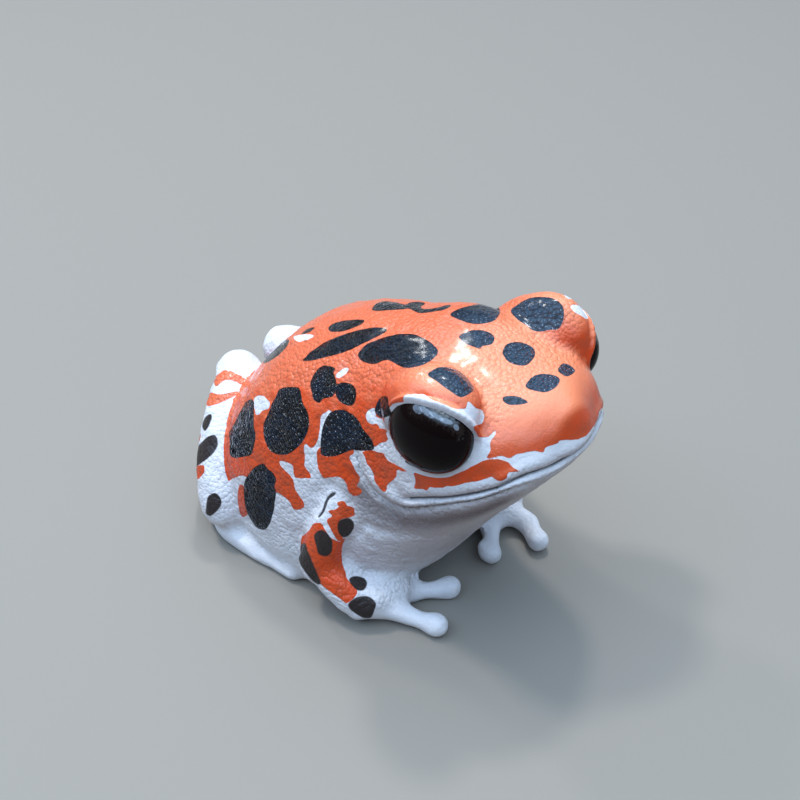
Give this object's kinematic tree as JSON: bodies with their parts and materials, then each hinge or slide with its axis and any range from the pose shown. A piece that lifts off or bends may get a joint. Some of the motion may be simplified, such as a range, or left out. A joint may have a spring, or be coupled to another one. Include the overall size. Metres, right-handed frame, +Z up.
{
  "type": "painted plastic toy frog figure",
  "caption": "Small sitting toy figure of a strawberry poison dart frog, orange with black spots over white plastic.",
  "frame": {"origin": "middle of the figure's footprint box, on the plane that it sits on", "axes": "+Z up; -Y towards the snout; +X towards the figure's own left side"},
  "size_m": [0.0286, 0.0432, 0.0297],
  "materials": {
    "orange_paint": "semi-gloss orange paint with black spots over white PVC, fine pebbled and wrinkled surface",
    "white_plastic": "bare white PVC, satin, with a few grey-black painted spots",
    "eye_gloss": "mirror-gloss black"
  },
  "bodies": {
    "root": {"head": "orange_paint", "torso": "orange_paint", "right_upper_arm": "orange_paint", "left_upper_arm": "orange_paint", "right_forearm": "orange_paint", "left_forearm": "orange_paint", "right_hand": "white_plastic", "left_hand": "white_plastic", "right_thigh": "white_plastic", "left_thigh": "white_plastic", "right_shank": "white_plastic", "left_shank": "white_plastic", "right_foot": "white_plastic", "left_foot": "white_plastic", "right_eye": "eye_gloss", "left_eye": "eye_gloss"}
  },
  "joints": []
}
